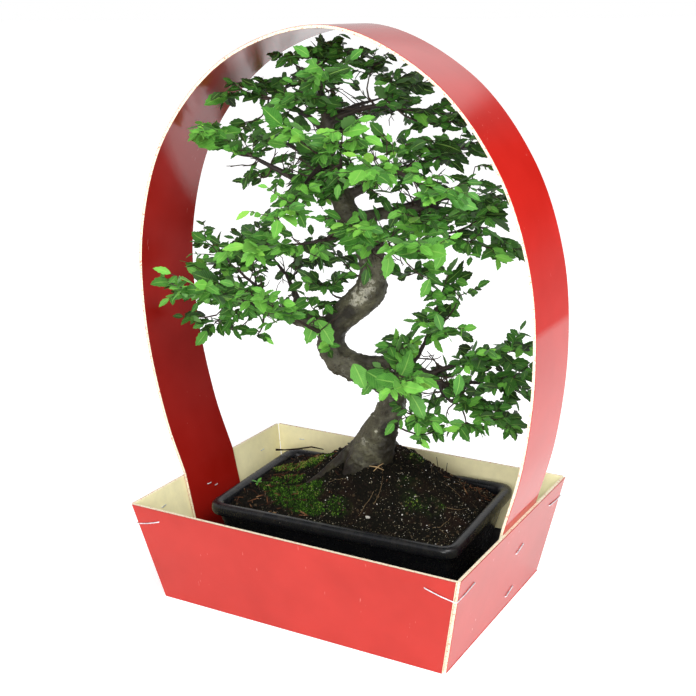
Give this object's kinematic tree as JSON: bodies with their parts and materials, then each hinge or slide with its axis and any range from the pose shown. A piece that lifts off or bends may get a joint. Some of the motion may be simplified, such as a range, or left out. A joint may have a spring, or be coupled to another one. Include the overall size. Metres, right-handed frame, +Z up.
{
  "type": "fukien tea bonsai",
  "caption": "S-shaped indoor bonsai tree with toothed leaves in a low black pot and drip tray, set in a flared red board crate with a wide hoop handle.",
  "frame": {"origin": "middle of the crate's underside", "axes": "+Z up, +X along the crate's long side to the right as seen from the front, +Y towards its back"},
  "size_m": [0.3965, 0.2918, 0.5333],
  "materials": {
    "crate_board": "satin red face on thin pressed wood board, raw cream edges and inside",
    "hoop_board": "satin red face on a thin bent wood board",
    "wire": "bright zinc-coated staple wire",
    "tray_plastic": "thin vacuum-formed black sheet",
    "pot_plastic": "injection-moulded satin black with dust",
    "soil": "moist crumbly earth with moss and white grit",
    "bark": "grey-brown bark that flakes in patches",
    "leaf": "semi-gloss waxy leaf"
  },
  "bodies": {
    "root": {"corner_wire_back_left": "wire", "corner_wire_back_right": "wire", "corner_wire_front_left": "wire", "corner_wire_front_right": "wire", "crate_back_wall": "crate_board", "crate_floor": "crate_board", "crate_front_wall": "crate_board", "crate_left_wall": "crate_board", "crate_right_wall": "crate_board", "drip_tray": "tray_plastic", "hoop_handle": "hoop_board", "hoop_staple_left_lower": "wire", "hoop_staple_left_upper": "wire", "hoop_staple_right_lower": "wire", "hoop_staple_right_upper": "wire", "leaf_spray_01": "leaf", "leaf_spray_02": "leaf", "leaf_spray_03": "leaf", "leaf_spray_04": "leaf", "leaf_spray_05": "leaf", "leaf_spray_06": "leaf", "leaf_spray_07": "leaf", "leaf_spray_08": "leaf", "leaf_spray_09": "leaf", "leaf_spray_10": "leaf", "leaf_spray_11": "leaf", "leaf_spray_12": "leaf", "leaf_spray_13": "leaf", "leaf_spray_14": "leaf", "leaf_spray_15": "leaf", "leaf_spray_16": "leaf", "leaf_spray_17": "leaf", "leaf_spray_18": "leaf", "leaf_spray_19": "leaf", "leaf_spray_20": "leaf", "leaf_spray_21": "leaf", "leaf_spray_22": "leaf", "leaf_spray_23": "leaf", "leaf_spray_24": "leaf", "leaf_spray_25": "leaf", "leaf_spray_26": "leaf", "leaf_spray_27": "leaf", "leaf_spray_28": "leaf", "leaf_spray_29": "leaf", "leaf_spray_30": "leaf", "leaf_spray_31": "leaf", "leaf_spray_32": "leaf", "leaf_spray_33": "leaf", "leaf_spray_34": "leaf", "leaf_spray_35": "leaf", "leaf_spray_36": "leaf", "leaf_spray_37": "leaf", "leaf_spray_38": "leaf", "leaf_spray_39": "leaf", "leaf_spray_40": "leaf", "pot": "pot_plastic", "soil": "soil", "tree_wood": "bark"}
  },
  "joints": []
}
